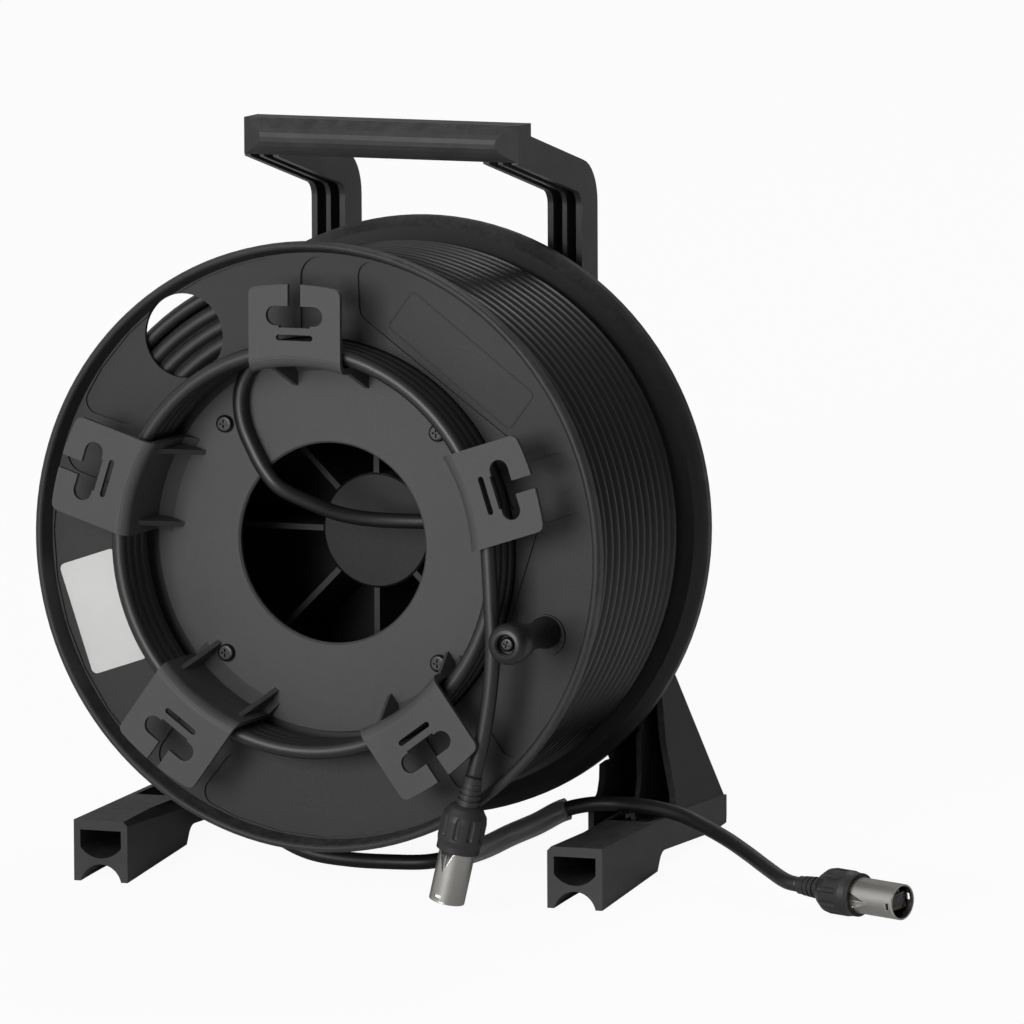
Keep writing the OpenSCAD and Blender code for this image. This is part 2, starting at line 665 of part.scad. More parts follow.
// Coiled tail behind the clips
coil_a0 = 104;
coil_a1 = 6;
coil_turns = 4;
coil_sweep = coil_a0 - coil_a1 + 360 * coil_turns;
coil_y0 = disc_y - cable_r + 0.1;
function coil_at(phi) = polar(coil_r, coil_a0 - phi, coil_y0 - coil_pitch * phi / 360);
coil_n = ceil(coil_sweep / step_a);
coil_pts = [for (i = [0:coil_n]) coil_at(coil_sweep * i / coil_n)];
coil_dirs = ways(coil_pts, unit(coil_at(0.5) - coil_at(0)),
    unit(coil_at(coil_sweep) - coil_at(coil_sweep - 0.5)));
module tail_coil() color([0.17, 0.17, 0.165]) stand() cable(coil_pts, coil_dirs, cable_r, tube_sides_n);

// Cable from the barrel's wall to the coil, in the drum's frame
hub_route = [[109.2, 62, 9], [95, 62, 9], [75, 62, 9], [52, 59, 9], [30, 53, 9], [12, 46, 10],
    [-2, 38, 13], [-14, 29, 19], [-27, 20.5, 27], [-35, 18.7, 36], [-41, 18.7, 46],
    [-46.5, 18.7, 58], [-48.5, 18.7, 70], [-46.5, 18.8, 81], [-40.5, 19, 90.5],
    [-32.7, 19.1, 97]];
hub_pts = concat(hub_route, [coil_pts[0]]);
module hub_lead() color([0.17, 0.17, 0.165]) stand()
    cable(hub_pts, ways(hub_pts, [-1, 0, 0], coil_dirs[0]), cable_r, 8);

// Tail that hangs from the clip, in the drum's frame
drop_route = [[102.6, -16.3, -6], [103.3, -16.3, -22], [104, -16.2, -38], [103.6, -16, -54],
    [101.8, -15.8, -70], [98.9, -15.5, -86], [95.5, -15.2, -100]];
drop_end = [93, -15, -109.5];
drop_dir = unit([-16.5, 3, -64.5]);
drop_pts = concat([coil_pts[coil_n]], drop_route, [drop_end]);
module tail_drop() color([0.17, 0.17, 0.165]) stand()
    cable(drop_pts, ways(drop_pts, coil_dirs[coil_n], drop_dir), cable_r, 8);

// Cable that leaves the winding and lies on the floor, in the floor's frame
lead_start = to_floor(wind_at(0) + soft_gap * -unit(wind_at(0.5) - wind_at(0)));
lead_dir = let (d = -unit(wind_at(0.5) - wind_at(0)))
    [d[0], d[1] * cos(lean) + d[2] * sin(lean), -d[1] * sin(lean) + d[2] * cos(lean)];
function to_floor(p) = [p[0], p[1] * cos(lean) + p[2] * sin(lean) - mid_y,
    -p[1] * sin(lean) + p[2] * cos(lean) + axis_h];
lead_route = [[-147.6, -56.3, 197.2], [-148.7, -49.5, 175.4], [-146.9, -41.8, 153.6],
    [-142.2, -33.4, 132.1], [-134.8, -25.5, 111.6],
    [-129, -24.3, 94], [-121, -24, 75], [-108, -24.7, 56],
    [-90, -25.9, 39], [-70, -26.8, 24], [-50, -27.9, 12], [-34, -28.6, 6.3], [-14, -28.5, 4.2],
    [6, -28.9, 4.2], [27, -25.9, 4.4], [41, -17.6, 6], [53, -10.5, 9], [64.5, -1.7, 14],
    [77, 5, 19], [89, 11, 25], [104, 12.5, 28.6], [119, 14.6, 29], [137.4, 11.6, 29],
    [156, 7.3, 27], [172, -0.2, 23.5], [188, -10.6, 20.5], [204, -23.6, 17.5], [219, -37.4, 15],
    [233.8, -50, 12.6]];
lead_end = [243.3, -54, 12];
plug_end = [306.3, -74.2, 12];
plug_dir = unit(plug_end - lead_end);
lead_pts = concat([lead_start], lead_route, [lead_end]);
lead_ways = ways(lead_pts, lead_dir, plug_dir);
sleeve_from = 17;
sleeve_to = 20;
module payout_lead() color([0.17, 0.17, 0.165]) cable(lead_pts, lead_ways, cable_r, 8);
module payout_sleeve() color([0.8, 0.82, 0.84]) hose(
    [for (i = [sleeve_from:sleeve_to]) lead_pts[i]], [for (i = [sleeve_from:sleeve_to]) lead_ways[i]],
    cable_r + sleeve_wall + 0.35, cable_r + 0.35, 8);

// Local frame: the cable's end at the origin, the plug toward +X
module payout_plug() translate(lead_end) rotate([0, 0, atan2(plug_dir[1], plug_dir[0])])
    rotate([0, -asin(plug_dir[2]), 0]) children();
module tail_plug() stand() translate(drop_end) rotate([0, 0, atan2(drop_dir[1], drop_dir[0])])
    rotate([0, -asin(drop_dir[2]), 0]) children();
module lathe() rotate([90, 0, 90]) rotate_extrude($fn = 64) children();

band_l = 3;
module boot() color([0.1, 0.1, 0.1]) difference() {
    lathe() polygon([[0, 0], [4.2, 0], [4.6, 0.6], [4.6, 3], [4.9, 3.6], [5.8, boot_l], [0, boot_l]]);
    for (k = [0:2]) translate([5 + 3 * k, 0, 0]) lathe() translate([4.7, 0]) square([3, 1.2]);
}
bushing_end = boot_l + bushing_l;
module bushing() color([0.09, 0.09, 0.09]) difference() {
    lathe() polygon([[0, boot_l], [6.6, boot_l], [8.6, boot_l + 1.5], [bushing_r - 0.6, boot_l + 5],
        [bushing_r, boot_l + 8], [bushing_r, bushing_end - 6], [bushing_r - 0.6, bushing_end - band_l],
        [bushing_r - 0.6, bushing_end], [0, bushing_end]]);
    // round flutes for the fingers
    for (k = [0:9]) rotate([36 * k, 0, 0]) translate([boot_l + 6, 0, bushing_r + 0.9]) {
        rotate([0, 90, 0]) cylinder(r = 1.9, h = 9, $fn = 24);
        for (x = [0, 9]) translate([x, 0, 0]) sphere(1.9, $fn = 24);
    }
}
shell_end = bushing_end + shell_l;
module shell() color([0.75, 0.74, 0.72]) difference() {
    lathe() polygon([[0, bushing_end], [shell_r, bushing_end], [shell_r, shell_end - 0.4],
        [shell_r - 0.4, shell_end], [shell_r - shell_wall, shell_end],
        [shell_r - shell_wall, bushing_end + 3], [0, bushing_end + 3]]);
    // small window near the mouth
    translate([shell_end - 7, -1.5, 0]) cube([1.5, 3, 20]);
    // flat bed with a pointed front
    translate([bushing_end - 1, 0, shell_r - 0.5]) linear_extrude(4)
        polygon([[0, -4.5], [7, -4.5], [10.5, 0], [7, 4.5], [0, 4.5]]);
}
module insert() color([0.8, 0.82, 0.84]) difference() {
    union() {
        translate([bushing_end + 3, -5.85, -4.2]) cube([shell_l - 6, 11.7, 8.4]);
        // latch tongue
        translate([bushing_end + 8, -3, 4.1]) cube([shell_l - 12, 6, 1.5]);
    }
    for (k = [0:7]) translate([shell_end - 9, -3.57 + 1.02 * k - 0.25, -5]) cube([8, 0.5, 3]);
}
module payout_boot() payout_plug() boot();
module payout_bushing() payout_plug() bushing();
module payout_shell() payout_plug() shell();
module payout_insert() payout_plug() insert();
module tail_boot() tail_plug() boot();
module tail_bushing() tail_plug() bushing();
module tail_shell() tail_plug() shell();
module tail_insert() tail_plug() insert();

echo(least_gap_winding = least_gap(wind_pts), least_gap_coil = least_gap(coil_pts),
    turns = wind_turns);

frame();
axle();
axle_washer();
axle_nut();
thrust_washer();
front_washer();
retaining_ring();
payout_lead();
payout_sleeve();
payout_boot();
payout_bushing();
payout_shell();
payout_insert();
front_flange();
back_flange();
tail_holder();
drum_screws();
hub_bush_front();
hub_bush_back();
hub_cap();
winding_core();
winding_outer();
hub_lead();
tail_coil();
tail_drop();
tail_boot();
tail_bushing();
tail_shell();
tail_insert();
knob_sleeve();
knob_screw();
knob_grip();
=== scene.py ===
import math
import bpy
import bmesh
from mathutils import Matrix, Vector


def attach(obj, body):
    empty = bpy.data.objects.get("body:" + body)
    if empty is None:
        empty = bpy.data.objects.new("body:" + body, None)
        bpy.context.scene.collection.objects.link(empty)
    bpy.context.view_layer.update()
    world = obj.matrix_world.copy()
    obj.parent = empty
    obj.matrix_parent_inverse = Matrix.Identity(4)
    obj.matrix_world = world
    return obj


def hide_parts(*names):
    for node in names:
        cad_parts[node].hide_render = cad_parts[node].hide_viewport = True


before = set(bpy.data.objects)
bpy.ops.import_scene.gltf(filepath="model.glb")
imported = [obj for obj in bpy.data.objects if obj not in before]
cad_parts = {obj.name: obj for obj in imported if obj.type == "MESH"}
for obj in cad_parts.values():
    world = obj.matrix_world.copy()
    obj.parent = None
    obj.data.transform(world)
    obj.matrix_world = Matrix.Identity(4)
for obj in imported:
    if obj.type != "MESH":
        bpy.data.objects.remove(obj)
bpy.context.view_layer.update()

bpy.ops.object.select_all(action="DESELECT")
scene = bpy.context.scene
scene.view_settings.view_transform = "Standard"


# Camera: a long lens, from the front and the right and a little above.
# It stands where the photograph was taken, with the same lean to one side.
camera_data = bpy.data.cameras.new("camera")
camera = bpy.data.objects.new("camera", camera_data)
scene.collection.objects.link(camera)
scene.camera = camera
camera_data.lens = 459.86
camera_data.sensor_width = 36
camera_data.clip_start = 0.5
camera_data.clip_end = 30
camera.location = (2.6124, -5.92548, 1.76535)
camera.rotation_euler = (math.radians(76.197), math.radians(3.1025), math.radians(22.423))


# Data cable that leaves the winding and lies on the floor: a black rubber jacket 7.8 mm thick,
# limp enough to lie in easy bends. It is swept as one tube along its route.
CABLE = 0.0078
CURVE_STEPS = 6
LEAN = math.radians(7.4)
AXIS = Vector((0, -0.0814, 0.1822))


def from_drum(x, y, z):
    """A point in the drum's own frame, in millimetres, put into the model's frame in metres."""
    c, s = math.cos(LEAN), math.sin(LEAN)
    return AXIS + Vector((x, y * c + z * s, -y * s + z * c)) / 1000


def polar(radius, angle, y):
    a = math.radians(angle)
    return from_drum(radius * math.cos(a), y, radius * math.sin(a))


def smooth_path(points, steps, start=None, end=None):
    """A dense smooth line through the route's points."""
    pts = [Vector(p) for p in points]
    first = pts[0] - start * (pts[1] - pts[0]).length if start else pts[0] * 2 - pts[1]
    last = pts[-1] + end * (pts[-1] - pts[-2]).length if end else pts[-1] * 2 - pts[-2]
    pts = [first] + pts + [last]
    line = []
    for i in range(1, len(pts) - 2):
        a, b, c, d = pts[i - 1 : i + 3]
        for k in range(steps):
            t = k / steps
            line.append(
                0.5 * ((2 * b) + (c - a) * t + (2 * a - 5 * b + 4 * c - d) * t * t
                       + (3 * b - a - 3 * c + d) * t ** 3)
            )
    line.append(pts[-2])
    return line


def tube(name, line, radius, sides=16):
    """A round tube along a line, as a closed mesh with its length along the cable in a UV map."""
    mesh = bpy.data.meshes.new(name)
    shape = bmesh.new()
    rings, run, runs = [], 0.0, []
    side = None
    for i, p in enumerate(line):
        ahead = line[min(i + 1, len(line) - 1)] - line[max(i - 1, 0)]
        ahead.normalize()
        if side is None:
            side = ahead.cross(Vector((0, 1, 0)))
        side = (side - ahead * side.dot(ahead)).normalized()
        up = ahead.cross(side)
        if i:
            run += (p - line[i - 1]).length
        runs.append(run)
        rings.append([
            shape.verts.new(p + radius * (math.cos(2 * math.pi * k / sides) * side
                                          + math.sin(2 * math.pi * k / sides) * up))
            for k in range(sides)
        ])
    layer = shape.loops.layers.uv.new("along")
    for i in range(len(rings) - 1):
        for k in range(sides):
            j = (k + 1) % sides
            face = shape.faces.new((rings[i][k], rings[i][j], rings[i + 1][j], rings[i + 1][k]))
            face.smooth = True
            for loop, (u, v) in zip(face.loops, ((k, i), (k + 1, i), (k + 1, i + 1), (k, i + 1))):
                loop[layer].uv = (u / sides, runs[v])
    shape.faces.new(list(reversed(rings[0])))
    shape.faces.new(rings[-1])
    bmesh.ops.recalc_face_normals(shape, faces=shape.faces)
    shape.to_mesh(mesh)
    shape.free()
    piece = bpy.data.objects.new(name, mesh)
    scene.collection.objects.link(piece)
    return piece


def add(tree, kind, values=None, **settings):
    """A shader node with its settings, values and incoming links."""
    node = tree.nodes.new("ShaderNode" + kind)
    for key, value in settings.items():
        setattr(node, key, value)
    for key, value in (values or {}).items():
        if isinstance(value, bpy.types.NodeSocket):
            tree.links.new(value, node.inputs[key])
        else:
            node.inputs[key].default_value = value
    return node


def effect(name, inputs, output):
    """An empty node group for one surface effect, with its inputs and its single output."""
    tree = bpy.data.node_groups.new(name, "ShaderNodeTree")
    for label, value in inputs.items():
        kind = "NodeSocketVector" if label == "Vector" else "NodeSocketFloat"
        socket = tree.interface.new_socket(label, in_out="INPUT", socket_type=kind)
        if value is not None:
            socket.default_value = value
    tree.interface.new_socket(output, in_out="OUTPUT", socket_type="NodeSocketFloat")
    return tree, tree.nodes.new("NodeGroupInput").outputs, tree.nodes.new("NodeGroupOutput")


# fine spark-eroded grain of a mould, as a height
mould_grain, given, result = effect(
    "mould_grain", {"Vector": None, "Scale": 1400, "Coarse": 0.35}, "Height")
fine = add(
    mould_grain, "TexNoise", {"Vector": given["Vector"], "Scale": given["Scale"], "Detail": 2})
step = add(mould_grain, "Math", {0: given["Scale"], 1: 0.22}, operation="MULTIPLY")
pits = add(mould_grain, "TexVoronoi", {"Vector": given["Vector"], "Scale": step.outputs[0]})
deep = add(
    mould_grain, "Math", {0: pits.outputs["Distance"], 1: given["Coarse"]}, operation="MULTIPLY")
both = add(mould_grain, "Math", {0: fine.outputs["Fac"], 1: deep.outputs[0]}, operation="ADD")
mould_grain.links.new(both.outputs[0], result.inputs["Height"])

# slow change of tone from flow lines, handling and cleaning
cloud_tone, given, result = effect(
    "cloud_tone", {"Vector": None, "Scale": 14, "Low": 0.9, "High": 1.1}, "Value")
cloud = add(
    cloud_tone, "TexNoise",
    {"Vector": given["Vector"], "Scale": given["Scale"], "Detail": 5, "Roughness": 0.62,
     "Distortion": 0.4})
spread = add(
    cloud_tone, "MapRange",
    {"Value": cloud.outputs["Fac"], "From Min": 0.3, "From Max": 0.7,
     "To Min": given["Low"], "To Max": given["High"]})
cloud_tone.links.new(spread.outputs[0], result.inputs["Value"])

# hair-fine scratches in two directions, gathered where the piece gets touched
hair_scratches, given, result = effect(
    "hair_scratches", {"Vector": None, "Scale": 60, "Amount": 0.5}, "Mask")
lines = []
for turn, stretch in (((0.3, 0.5, 0.9), (1, 1, 26)), ((1.1, 0.2, -0.7), (24, 1, 1))):
    way = add(
        hair_scratches, "Mapping", {"Vector": given["Vector"], "Rotation": turn, "Scale": stretch})
    line = add(
        hair_scratches, "TexNoise",
        {"Vector": way.outputs[0], "Scale": given["Scale"], "Detail": 3})
    thin = add(
        hair_scratches, "MapRange",
        {"Value": line.outputs["Fac"], "From Min": 0.66, "From Max": 0.74})
    lines.append(thin)
patch = add(hair_scratches, "TexNoise", {"Vector": given["Vector"], "Scale": 22, "Detail": 2})
place = add(
    hair_scratches, "MapRange", {"Value": patch.outputs["Fac"], "From Min": 0.45, "From Max": 0.65})
most = add(
    hair_scratches, "Math", {0: lines[0].outputs[0], 1: lines[1].outputs[0]}, operation="MAXIMUM")
kept = add(hair_scratches, "Math", {0: most.outputs[0], 1: place.outputs[0]}, operation="MULTIPLY")
last = add(hair_scratches, "Math", {0: kept.outputs[0], 1: given["Amount"]}, operation="MULTIPLY")
hair_scratches.links.new(last.outputs[0], result.inputs["Mask"])

# thin dust that settles on faces that look up
settled_dust, given, result = effect(
    "settled_dust", {"Vector": None, "Up": 0.0, "Amount": 0.4}, "Mask")
flat = add(settled_dust, "MapRange", {"Value": given["Up"], "From Min": 0.35, "From Max": 1})
specks = add(
    settled_dust, "TexNoise",
    {"Vector": given["Vector"], "Scale": 190, "Detail": 6, "Roughness": 0.8})
speck = add(
    settled_dust, "MapRange", {"Value": specks.outputs["Fac"], "From Min": 0.42, "From Max": 0.72})
much = add(settled_dust, "Math", {0: flat.outputs[0], 1: speck.outputs[0]}, operation="MULTIPLY")
last = add(settled_dust, "Math", {0: much.outputs[0], 1: given["Amount"]}, operation="MULTIPLY")
settled_dust.links.new(last.outputs[0], result.inputs["Mask"])


def use(tree, group, values):
    """One copy of a surface effect in a material; gives its output."""
    node = add(tree, "Group", node_tree=group)
    for key, value in values.items():
        if isinstance(value, bpy.types.NodeSocket):
            tree.links.new(value, node.inputs[key])
        else:
            node.inputs[key].default_value = value
    return node.outputs[0]


def blended(tree, amount, low, high):
    """A colour between two colours."""
    node = add(tree, "Mix", {0: amount, 6: low, 7: high}, data_type="RGBA")
    return node.outputs[2]


DUST_COLOR = (0.2, 0.19, 0.175, 1)
GLOSS_SPREAD, RUBBED_GLOSS = 0.12, 0.72


def finish_of(name, color, worn_color, rough, scale=1400, depth=0.00004, coarse=0.35, scratch=0.35,
              dust=0.25, spread=0.12, worn=None, where=None, turned=(1, 1, 1), metal=0.0,
              specular=0.35):
    """A surface with grain, changing tone, scratches, dust and rubbed places."""
    material = bpy.data.materials.new(name)
    material.use_nodes = True
    tree = material.node_tree
    shader = tree.nodes["Principled BSDF"]
    shader.inputs["Metallic"].default_value = metal
    shader.inputs["Specular IOR Level"].default_value = specular
    if where:
        place = add(tree, "UVMap", uv_map=where).outputs[0]
    else:
        place = add(tree, "TexCoord").outputs["Object"]
    way = add(tree, "Mapping", {"Vector": place, "Scale": turned}).outputs[0]
    up = add(tree, "SeparateXYZ", {0: add(tree, "NewGeometry").outputs["Normal"]}).outputs["Z"]
    tone = use(tree, cloud_tone, {"Vector": place, "Scale": 16, "Low": 0, "High": 1})
    lines = use(tree, hair_scratches, {"Vector": place, "Scale": 60, "Amount": scratch})
    powder = use(tree, settled_dust, {"Vector": place, "Up": up, "Amount": dust})
    darker = tuple(c * (1 - spread) for c in color) + (1,)
    lighter = tuple(c * (1 + spread) for c in color) + (1,)
    body = blended(tree, tone, darker, lighter)
    marked = blended(tree, lines, body, (*worn_color, 1))
    gloss = add(
        tree, "MapRange",
        {"Value": tone, "To Min": rough * (1 - GLOSS_SPREAD),
         "To Max": rough * (1 + GLOSS_SPREAD)}).outputs[0]
    if worn:
        rubbed = worn(tree, place)
        marked = blended(tree, rubbed, marked, (*worn_color, 1))
        gloss = add(tree, "Mix", {0: rubbed, 2: gloss, 3: rough * RUBBED_GLOSS}).outputs[0]
    dusty = blended(tree, powder, marked, DUST_COLOR)
    tree.links.new(dusty, shader.inputs["Base Color"])
    tree.links.new(gloss, shader.inputs["Roughness"])
    height = use(tree, mould_grain, {"Vector": way, "Scale": scale, "Coarse": coarse})
    bump = add(tree, "Bump", {"Height": height, "Distance": depth, "Strength": 1})
    tree.links.new(bump.outputs[0], shader.inputs["Normal"])
    return material


def dress(piece, material):
    piece.data.materials.clear()
    piece.data.materials.append(material)


def dress_node(name, material):
    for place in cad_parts[name].material_slots:
        place.material = material


jacket = finish_of(
    "cable_jacket", (0.008, 0.008, 0.0082), (0.035, 0.035, 0.035), 0.44, scale=2600, depth=0.00002,
    coarse=0.1, scratch=0.25, dust=0.12, where="along", turned=(0.02, 1, 1), specular=0.42)


# the winding that the cable leaves, in millimetres and degrees
WIND_R, WIND_PITCH, WIND_Y0, WIND_TURNS = 140, 8.5, 17.1, 14
LEAD_A, LEAD_R, CLIMB_A = 165, 148.7, 30
LEAD_GAP = 0.0003


def ease(u):
    v = max(0, min(1, u))
    return v * v * (3 - 2 * v)


def wind_at(phi):
    rise = (LEAD_R - WIND_R) * (1 - ease(phi / CLIMB_A))
    return polar(WIND_R + rise, LEAD_A - phi, WIND_Y0 + WIND_PITCH * phi / 360)


lead_way = (wind_at(0) - wind_at(0.5)).normalized()
lead_route = [
    (-147.6, -56.3, 197.2), (-148.7, -49.5, 175.4), (-146.9, -41.8, 153.6), (-142.2, -33.4, 132.1),
    (-134.8, -25.5, 111.6), (-129, -24.3, 94), (-121, -24, 75), (-108, -24.7, 56), (-90, -25.9, 39),
    (-70, -26.8, 24), (-50, -27.9, 12), (-34, -28.6, 6.3), (-14, -28.5, 4.2), (6, -28.9, 4.2),
    (27, -25.9, 4.4), (41, -17.6, 6), (53, -10.5, 9), (64.5, -1.7, 14), (77, 5, 19), (89, 11, 25),
    (104, 12.5, 28.6), (119, 14.6, 29), (137.4, 11.6, 29), (156, 7.3, 27), (172, -0.2, 23.5),
    (188, -10.6, 20.5), (204, -23.6, 17.5), (219, -37.4, 15), (233.8, -50, 12.6), (243.3, -54, 12),
]
lead_points = [wind_at(0) + lead_way * LEAD_GAP] + [Vector(p) / 1000 for p in lead_route]
plug_way = Vector((63, -20.2, 0)).normalized()
lead_line = smooth_path(lead_points, CURVE_STEPS, lead_way, plug_way)
payout_cable = tube("payout_cable", lead_line, CABLE / 2)
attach(payout_cable, "stand")
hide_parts("payout_lead")
dress(payout_cable, jacket)


# The tail end of the same cable, in the same black rubber jacket. It comes out of the coil behind
# the right clip and hangs in front of the drum, pulled down by its connector.
TAIL_WAY = Vector((-16.5, 3, -64.5))
# the coil that it comes from, in millimetres and degrees
COIL_R, COIL_PITCH, COIL_A0, COIL_SWEEP, COIL_Y0 = 102.1, 8.3, 104, 98 + 1440, 19.2
COIL_END = 6
coil_end = polar(COIL_R, COIL_END, COIL_Y0 - COIL_PITCH * COIL_SWEEP / 360)
drop_route = [(102.6, -16.3, -6), (103.3, -16.3, -22), (104, -16.2, -38), (103.6, -16, -54),
              (101.8, -15.8, -70), (98.9, -15.5, -86), (95.5, -15.2, -100), (93, -15, -109.5)]
drop_way = (from_drum(*TAIL_WAY) - from_drum(0, 0, 0)).normalized()
coil_way = (polar(COIL_R, COIL_END - 0.5, 0) - polar(COIL_R, COIL_END, 0)).normalized()
drop_points = [coil_end] + [from_drum(*p) for p in drop_route]
drop_line = smooth_path(drop_points, CURVE_STEPS, coil_way, drop_way)
tail_cable = tube("tail_cable", drop_line, CABLE / 2)
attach(tail_cable, "drum")
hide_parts("tail_drop")
dress(tail_cable, jacket)


# The coil of the tail behind the clips, and the lead that brings it out of the barrel. Both are
# the same cable, wound by hand into the drum's pocket and kept there by the clips.
COIL_STEPS = 420
coil_line = []
for i in range(COIL_STEPS + 1):
    swept = COIL_SWEEP * i / COIL_STEPS
    coil_line.append(polar(COIL_R, COIL_A0 - swept, COIL_Y0 - COIL_PITCH * swept / 360))
tail_winding = tube("tail_winding", coil_line, CABLE / 2)
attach(tail_winding, "drum")
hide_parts("tail_coil")
dress(tail_winding, jacket)

hub_route = [(109.2, 62, 9), (95, 62, 9), (75, 62, 9), (52, 59, 9), (30, 53, 9), (12, 46, 10),
             (-2, 38, 13), (-14, 29, 19), (-27, 20.5, 27), (-35, 18.7, 36), (-41, 18.7, 46),
             (-46.5, 18.7, 58), (-48.5, 18.7, 70), (-46.5, 18.8, 81), (-40.5, 19, 90.5),
             (-32.7, 19.1, 97)]
hub_points = [from_drum(*p) for p in hub_route] + [coil_line[0]]
hub_line = smooth_path(hub_points, CURVE_STEPS, None, (coil_line[1] - coil_line[0]).normalized())
hub_cable = tube("hub_cable", hub_line, CABLE / 2)
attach(hub_cable, "drum")
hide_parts("hub_lead")
dress(hub_cable, jacket)


# The wound cable: the outer layer's turns in the same jacket, and the layers under it, which show
# between the turns and through the finger hole. It is wound on the barrel turn beside turn.
TURN_STEPS, TURN_SIDES = 120, 12
wind_line = [wind_at(360 * k / TURN_STEPS) for k in range(WIND_TURNS * TURN_STEPS + 1)]
outer_turns = tube("outer_turns", wind_line, CABLE / 2, TURN_SIDES)
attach(outer_turns, "drum")
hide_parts("winding_outer")
dress(outer_turns, jacket)

CORE_R, CORE_STEPS, ARC_STEPS = 110.4, 120, 8
LAYER, LAYER_SINK, LAYER_SIDE = 8.2, 0.7, 3.9
FRONT_Y, REAR_Y = 12.9, 141.5
layers = [WIND_R - LAYER * k - LAYER_SINK for k in (3, 2, 1)]
section = [(CORE_R, FRONT_Y + LAYER_SIDE)]
for side_y, inward, radii in ((FRONT_Y, 1, layers), (REAR_Y, -1, layers[::-1])):
    for r in radii:
        for k in range(ARC_STEPS + 1):
            a = math.radians(180 * k / ARC_STEPS + (180 if inward > 0 else 0))
            section.append(
                (r + LAYER / 2 * math.cos(a), side_y + LAYER_SIDE * (inward + math.sin(a))))
section.append((CORE_R, REAR_Y - LAYER_SIDE))
mesh = bpy.data.meshes.new("inner_layers")
shape = bmesh.new()
ring = [shape.verts.new(polar(r, 0, y)) for r, y in section]
edges = [shape.edges.new((ring[i], ring[(i + 1) % len(ring)])) for i in range(len(ring))]
axle_way = from_drum(0, 1, 0) - from_drum(0, 0, 0)
bmesh.ops.spin(shape, geom=ring + edges, cent=AXIS, axis=axle_way, angle=2 * math.pi,
               steps=CORE_STEPS, use_duplicate=False)
bmesh.ops.remove_doubles(shape, verts=shape.verts, dist=1e-6)
bmesh.ops.recalc_face_normals(shape, faces=shape.faces)
for face in shape.faces:
    face.smooth = True
shape.to_mesh(mesh)
shape.free()
inner_layers = bpy.data.objects.new("inner_layers", mesh)
scene.collection.objects.link(inner_layers)
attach(inner_layers, "drum")
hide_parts("winding_core")
inner_jacket = finish_of(
    "inner_jacket", (0.01, 0.01, 0.0102), (0.04, 0.04, 0.04), 0.45, scale=2000, depth=0.00002,
    scratch=0, dust=0.2, specular=0.4)
dress(inner_layers, inner_jacket)


# Clear sleeve on the cable: a piece of soft tube, cut square, that slides along the jacket.
# It is extruded plastic with a thick wall.
SLEEVE_OUT, SLEEVE_IN, SLEEVE_SIDES, SLEEVE_SPAN = 0.00575, 0.00425, 32, slice(97, 122)
sleeve = tube("clear_sleeve", lead_line[SLEEVE_SPAN], SLEEVE_OUT, SLEEVE_SIDES)
bpy.ops.object.select_all(action="DESELECT")
bpy.context.view_layer.objects.active = sleeve
sleeve.select_set(True)
shape = bmesh.new()
shape.from_mesh(sleeve.data)
bmesh.ops.delete(shape, geom=[f for f in shape.faces if len(f.verts) > 4], context="FACES_ONLY")
shape.to_mesh(sleeve.data)
shape.free()
wall = sleeve.modifiers.new("wall", "SOLIDIFY")
wall.thickness = SLEEVE_OUT - SLEEVE_IN
wall.offset = -1
bpy.ops.object.modifier_apply(modifier="wall")
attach(sleeve, "stand")
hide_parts("payout_sleeve")


def clear_plastic(name, color, rough, scale, clear=1.0):
    """Clear plastic with a fine grain and greasy marks."""
    material = bpy.data.materials.new(name)
    material.use_nodes = True
    tree = material.node_tree
    shader = tree.nodes["Principled BSDF"]
    shader.inputs["Base Color"].default_value = (*color, 1)
    shader.inputs["Transmission Weight"].default_value = clear
    shader.inputs["IOR"].default_value = 1.45
    place = add(tree, "TexCoord").outputs["Object"]
    tone = use(
        tree, cloud_tone,
        {"Vector": place, "Scale": scale, "Low": rough * 0.5, "High": rough * 1.6})
    tree.links.new(tone, shader.inputs["Roughness"])
    height = use(tree, mould_grain, {"Vector": place, "Scale": scale * 20, "Coarse": 0.3})
    bump = add(tree, "Bump", {"Height": height, "Distance": 0.00002, "Strength": 0.6})
    tree.links.new(bump.outputs[0], shader.inputs["Normal"])
    return material


sleeve_plastic = clear_plastic("sleeve_plastic", (0.72, 0.73, 0.73), 0.16, 60, 0.88)
dress(sleeve, sleeve_plastic)


# Connectors on both ends of the cable: a soft boot, a black bushing that screws on, a round
# nickel-plated shell cast in zinc, and a clear plug body in it with eight gold-plated blades.
BLADES, BLADE_STEP, BLADE_EDGE = 8, 0.00102, 0.00008
BLADE_SIZE = (0.0053, 0.00034, 0.0019)
BLADE_MIDDLE = (0.05995, -0.00357, -0.00318)


def plug_blades(name, place):
    """The eight contact blades, set into the slots of the plug body."""
    bpy.ops.object.select_all(action="DESELECT")
    bpy.ops.mesh.primitive_cube_add(size=1, location=BLADE_MIDDLE, scale=BLADE_SIZE)
    blades = bpy.context.active_object
    blades.name = name
    bpy.ops.object.transform_apply(location=True, rotation=True, scale=True)
    bpy.ops.object.mode_set(mode="EDIT")
    bpy.ops.mesh.select_all(action="SELECT")
    bpy.ops.mesh.bevel(offset=BLADE_EDGE, segments=2)
    bpy.ops.object.mode_set(mode="OBJECT")
    row = blades.modifiers.new("row", "ARRAY")
    row.count = BLADES
    row.use_relative_offset = False
    row.use_constant_offset = True
    row.constant_offset_displace = (0, BLADE_STEP, 0)
    bpy.ops.object.modifier_apply(modifier="row")
    blades.matrix_world = place
    bpy.ops.object.transform_apply(location=True, rotation=True, scale=True)
    return blades


